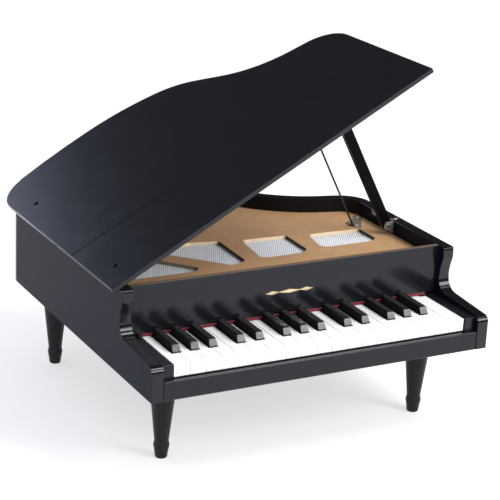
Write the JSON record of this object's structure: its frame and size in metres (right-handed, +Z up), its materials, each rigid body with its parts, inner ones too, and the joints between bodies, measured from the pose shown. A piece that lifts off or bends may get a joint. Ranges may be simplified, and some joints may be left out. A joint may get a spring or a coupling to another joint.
{
  "type": "miniature grand piano",
  "caption": "Miniature toy grand piano with a propped hinged lid, a playable keyboard that strikes metal tubes, cloth-backed soundboard windows and turned legs.",
  "frame": {"origin": "on the floor under the middle of the outer box, lid propped open", "axes": "+Z up, +Y from the keyboard to the tail, +X towards the treble end and the prop"},
  "size_m": [0.436, 0.45, 0.4151],
  "materials": {
    "black_lacquer": "satin black lacquer on board",
    "lid_lacquer": "satin black lacquer on board",
    "leg_lacquer": "satin black lacquer on turned wood",
    "stick_lacquer": "matte black lacquer on wood",
    "dark_board": "stained board",
    "brown_board": "bare brown fibreboard",
    "pale_wood": "bare softwood",
    "grille_fabric": "ribbed white grille cloth",
    "red_felt": "pressed felt",
    "dark_felt": "pressed felt",
    "zinc": "zinc plated",
    "gold_inlay": "polished",
    "steel": "satin",
    "bright_screws": "polished",
    "tube_aluminium": "satin",
    "black_metal": "black",
    "white_plastic": "gloss",
    "black_plastic": "satin"
  },
  "bodies": {
    "case": {"left_side": "black_lacquer", "right_side": "black_lacquer", "bent_rim": "black_lacquer", "bottom_board": "dark_board", "soundboard": "brown_board", "grille_cloth": "grille_fabric", "fallboard": "black_lacquer", "fallboard_inlay": "gold_inlay", "name_felt": "red_felt", "keyslip": "black_lacquer", "key_blocks": "black_lacquer", "key_rod": "steel", "key_felts": "dark_felt", "key_springs": "steel", "tone_tubes": "tube_aluminium", "tube_rails": "pale_wood", "legs": "leg_lacquer", "case_screws": "bright_screws", "hinge_case_leaves": "steel", "hinge_pins": "steel", "prop_bracket": "zinc", "prop_pin": "bright_screws", "wire_bracket": "zinc"},
    "lid": {"lid": "lid_lacquer", "hinge_lid_leaves": "steel", "lid_bolts": "black_metal"},
    "prop_stick": {"prop_stick": "stick_lacquer"},
    "wire_stay": {"wire_stay": "black_metal"},
    "white_key_01": {"white_key_01": "white_plastic"},
    "black_key_02": {"black_key_02": "black_plastic"},
    "white_key_03": {"white_key_03": "white_plastic"},
    "black_key_04": {"black_key_04": "black_plastic"},
    "white_key_05": {"white_key_05": "white_plastic"},
    "black_key_06": {"black_key_06": "black_plastic"},
    "white_key_07": {"white_key_07": "white_plastic"},
    "white_key_08": {"white_key_08": "white_plastic"},
    "black_key_09": {"black_key_09": "black_plastic"},
    "white_key_10": {"white_key_10": "white_plastic"},
    "black_key_11": {"black_key_11": "black_plastic"},
    "white_key_12": {"white_key_12": "white_plastic"},
    "white_key_13": {"white_key_13": "white_plastic"},
    "black_key_14": {"black_key_14": "black_plastic"},
    "white_key_15": {"white_key_15": "white_plastic"},
    "black_key_16": {"black_key_16": "black_plastic"},
    "white_key_17": {"white_key_17": "white_plastic"},
    "black_key_18": {"black_key_18": "black_plastic"},
    "white_key_19": {"white_key_19": "white_plastic"},
    "white_key_20": {"white_key_20": "white_plastic"},
    "black_key_21": {"black_key_21": "black_plastic"},
    "white_key_22": {"white_key_22": "white_plastic"},
    "black_key_23": {"black_key_23": "black_plastic"},
    "white_key_24": {"white_key_24": "white_plastic"},
    "white_key_25": {"white_key_25": "white_plastic"},
    "black_key_26": {"black_key_26": "black_plastic"},
    "white_key_27": {"white_key_27": "white_plastic"},
    "black_key_28": {"black_key_28": "black_plastic"},
    "white_key_29": {"white_key_29": "white_plastic"},
    "black_key_30": {"black_key_30": "black_plastic"},
    "white_key_31": {"white_key_31": "white_plastic"},
    "white_key_32": {"white_key_32": "white_plastic"}
  },
  "joints": [
    {"name": "lid_hinge", "type": "hinge", "parent": "case", "child": "lid", "pos_m": [-0.20805, 0, 0.199], "axis": [0, -1, 0], "range_deg": [0, 61]},
    {"name": "prop_stick_pivot", "type": "hinge", "parent": "case", "child": "prop_stick", "pos_m": [0.19685, -0.029, 0.192], "axis": [0, -1, 0], "range_deg": [-24, 62]},
    {"name": "wire_stay_pivot", "type": "hinge", "parent": "case", "child": "wire_stay", "pos_m": [0.17245, 0.025, 0.18195], "axis": [0, -1, 0], "range_deg": [-24, 61.5]},
    {"name": "white_key_01_press", "type": "hinge", "parent": "case", "child": "white_key_01", "pos_m": [0, -0.105, 0.13], "axis": [1, 0, 0], "range_deg": [0, 2.5], "stiffness_Nm_per_rad": 0.15, "springref_deg": -11.46},
    {"name": "black_key_02_press", "type": "hinge", "parent": "case", "child": "black_key_02", "pos_m": [0, -0.105, 0.13], "axis": [1, 0, 0], "range_deg": [0, 2.5], "stiffness_Nm_per_rad": 0.15, "springref_deg": -11.46},
    {"name": "white_key_03_press", "type": "hinge", "parent": "case", "child": "white_key_03", "pos_m": [0, -0.105, 0.13], "axis": [1, 0, 0], "range_deg": [0, 2.5], "stiffness_Nm_per_rad": 0.15, "springref_deg": -11.46},
    {"name": "black_key_04_press", "type": "hinge", "parent": "case", "child": "black_key_04", "pos_m": [0, -0.105, 0.13], "axis": [1, 0, 0], "range_deg": [0, 2.5], "stiffness_Nm_per_rad": 0.15, "springref_deg": -11.46},
    {"name": "white_key_05_press", "type": "hinge", "parent": "case", "child": "white_key_05", "pos_m": [0, -0.105, 0.13], "axis": [1, 0, 0], "range_deg": [0, 2.5], "stiffness_Nm_per_rad": 0.15, "springref_deg": -11.46},
    {"name": "black_key_06_press", "type": "hinge", "parent": "case", "child": "black_key_06", "pos_m": [0, -0.105, 0.13], "axis": [1, 0, 0], "range_deg": [0, 2.5], "stiffness_Nm_per_rad": 0.15, "springref_deg": -11.46},
    {"name": "white_key_07_press", "type": "hinge", "parent": "case", "child": "white_key_07", "pos_m": [0, -0.105, 0.13], "axis": [1, 0, 0], "range_deg": [0, 2.5], "stiffness_Nm_per_rad": 0.15, "springref_deg": -11.46},
    {"name": "white_key_08_press", "type": "hinge", "parent": "case", "child": "white_key_08", "pos_m": [0, -0.105, 0.13], "axis": [1, 0, 0], "range_deg": [0, 2.5], "stiffness_Nm_per_rad": 0.15, "springref_deg": -11.46},
    {"name": "black_key_09_press", "type": "hinge", "parent": "case", "child": "black_key_09", "pos_m": [0, -0.105, 0.13], "axis": [1, 0, 0], "range_deg": [0, 2.5], "stiffness_Nm_per_rad": 0.15, "springref_deg": -11.46},
    {"name": "white_key_10_press", "type": "hinge", "parent": "case", "child": "white_key_10", "pos_m": [0, -0.105, 0.13], "axis": [1, 0, 0], "range_deg": [0, 2.5], "stiffness_Nm_per_rad": 0.15, "springref_deg": -11.46},
    {"name": "black_key_11_press", "type": "hinge", "parent": "case", "child": "black_key_11", "pos_m": [0, -0.105, 0.13], "axis": [1, 0, 0], "range_deg": [0, 2.5], "stiffness_Nm_per_rad": 0.15, "springref_deg": -11.46},
    {"name": "white_key_12_press", "type": "hinge", "parent": "case", "child": "white_key_12", "pos_m": [0, -0.105, 0.13], "axis": [1, 0, 0], "range_deg": [0, 2.5], "stiffness_Nm_per_rad": 0.15, "springref_deg": -11.46},
    {"name": "white_key_13_press", "type": "hinge", "parent": "case", "child": "white_key_13", "pos_m": [0, -0.105, 0.13], "axis": [1, 0, 0], "range_deg": [0, 2.5], "stiffness_Nm_per_rad": 0.15, "springref_deg": -11.46},
    {"name": "black_key_14_press", "type": "hinge", "parent": "case", "child": "black_key_14", "pos_m": [0, -0.105, 0.13], "axis": [1, 0, 0], "range_deg": [0, 2.5], "stiffness_Nm_per_rad": 0.15, "springref_deg": -11.46},
    {"name": "white_key_15_press", "type": "hinge", "parent": "case", "child": "white_key_15", "pos_m": [0, -0.105, 0.13], "axis": [1, 0, 0], "range_deg": [0, 2.5], "stiffness_Nm_per_rad": 0.15, "springref_deg": -11.46},
    {"name": "black_key_16_press", "type": "hinge", "parent": "case", "child": "black_key_16", "pos_m": [0, -0.105, 0.13], "axis": [1, 0, 0], "range_deg": [0, 2.5], "stiffness_Nm_per_rad": 0.15, "springref_deg": -11.46},
    {"name": "white_key_17_press", "type": "hinge", "parent": "case", "child": "white_key_17", "pos_m": [0, -0.105, 0.13], "axis": [1, 0, 0], "range_deg": [0, 2.5], "stiffness_Nm_per_rad": 0.15, "springref_deg": -11.46},
    {"name": "black_key_18_press", "type": "hinge", "parent": "case", "child": "black_key_18", "pos_m": [0, -0.105, 0.13], "axis": [1, 0, 0], "range_deg": [0, 2.5], "stiffness_Nm_per_rad": 0.15, "springref_deg": -11.46},
    {"name": "white_key_19_press", "type": "hinge", "parent": "case", "child": "white_key_19", "pos_m": [0, -0.105, 0.13], "axis": [1, 0, 0], "range_deg": [0, 2.5], "stiffness_Nm_per_rad": 0.15, "springref_deg": -11.46},
    {"name": "white_key_20_press", "type": "hinge", "parent": "case", "child": "white_key_20", "pos_m": [0, -0.105, 0.13], "axis": [1, 0, 0], "range_deg": [0, 2.5], "stiffness_Nm_per_rad": 0.15, "springref_deg": -11.46},
    {"name": "black_key_21_press", "type": "hinge", "parent": "case", "child": "black_key_21", "pos_m": [0, -0.105, 0.13], "axis": [1, 0, 0], "range_deg": [0, 2.5], "stiffness_Nm_per_rad": 0.15, "springref_deg": -11.46},
    {"name": "white_key_22_press", "type": "hinge", "parent": "case", "child": "white_key_22", "pos_m": [0, -0.105, 0.13], "axis": [1, 0, 0], "range_deg": [0, 2.5], "stiffness_Nm_per_rad": 0.15, "springref_deg": -11.46},
    {"name": "black_key_23_press", "type": "hinge", "parent": "case", "child": "black_key_23", "pos_m": [0, -0.105, 0.13], "axis": [1, 0, 0], "range_deg": [0, 2.5], "stiffness_Nm_per_rad": 0.15, "springref_deg": -11.46},
    {"name": "white_key_24_press", "type": "hinge", "parent": "case", "child": "white_key_24", "pos_m": [0, -0.105, 0.13], "axis": [1, 0, 0], "range_deg": [0, 2.5], "stiffness_Nm_per_rad": 0.15, "springref_deg": -11.46},
    {"name": "white_key_25_press", "type": "hinge", "parent": "case", "child": "white_key_25", "pos_m": [0, -0.105, 0.13], "axis": [1, 0, 0], "range_deg": [0, 2.5], "stiffness_Nm_per_rad": 0.15, "springref_deg": -11.46},
    {"name": "black_key_26_press", "type": "hinge", "parent": "case", "child": "black_key_26", "pos_m": [0, -0.105, 0.13], "axis": [1, 0, 0], "range_deg": [0, 2.5], "stiffness_Nm_per_rad": 0.15, "springref_deg": -11.46},
    {"name": "white_key_27_press", "type": "hinge", "parent": "case", "child": "white_key_27", "pos_m": [0, -0.105, 0.13], "axis": [1, 0, 0], "range_deg": [0, 2.5], "stiffness_Nm_per_rad": 0.15, "springref_deg": -11.46},
    {"name": "black_key_28_press", "type": "hinge", "parent": "case", "child": "black_key_28", "pos_m": [0, -0.105, 0.13], "axis": [1, 0, 0], "range_deg": [0, 2.5], "stiffness_Nm_per_rad": 0.15, "springref_deg": -11.46},
    {"name": "white_key_29_press", "type": "hinge", "parent": "case", "child": "white_key_29", "pos_m": [0, -0.105, 0.13], "axis": [1, 0, 0], "range_deg": [0, 2.5], "stiffness_Nm_per_rad": 0.15, "springref_deg": -11.46},
    {"name": "black_key_30_press", "type": "hinge", "parent": "case", "child": "black_key_30", "pos_m": [0, -0.105, 0.13], "axis": [1, 0, 0], "range_deg": [0, 2.5], "stiffness_Nm_per_rad": 0.15, "springref_deg": -11.46},
    {"name": "white_key_31_press", "type": "hinge", "parent": "case", "child": "white_key_31", "pos_m": [0, -0.105, 0.13], "axis": [1, 0, 0], "range_deg": [0, 2.5], "stiffness_Nm_per_rad": 0.15, "springref_deg": -11.46},
    {"name": "white_key_32_press", "type": "hinge", "parent": "case", "child": "white_key_32", "pos_m": [0, -0.105, 0.13], "axis": [1, 0, 0], "range_deg": [0, 2.5], "stiffness_Nm_per_rad": 0.15, "springref_deg": -11.46}
  ]
}
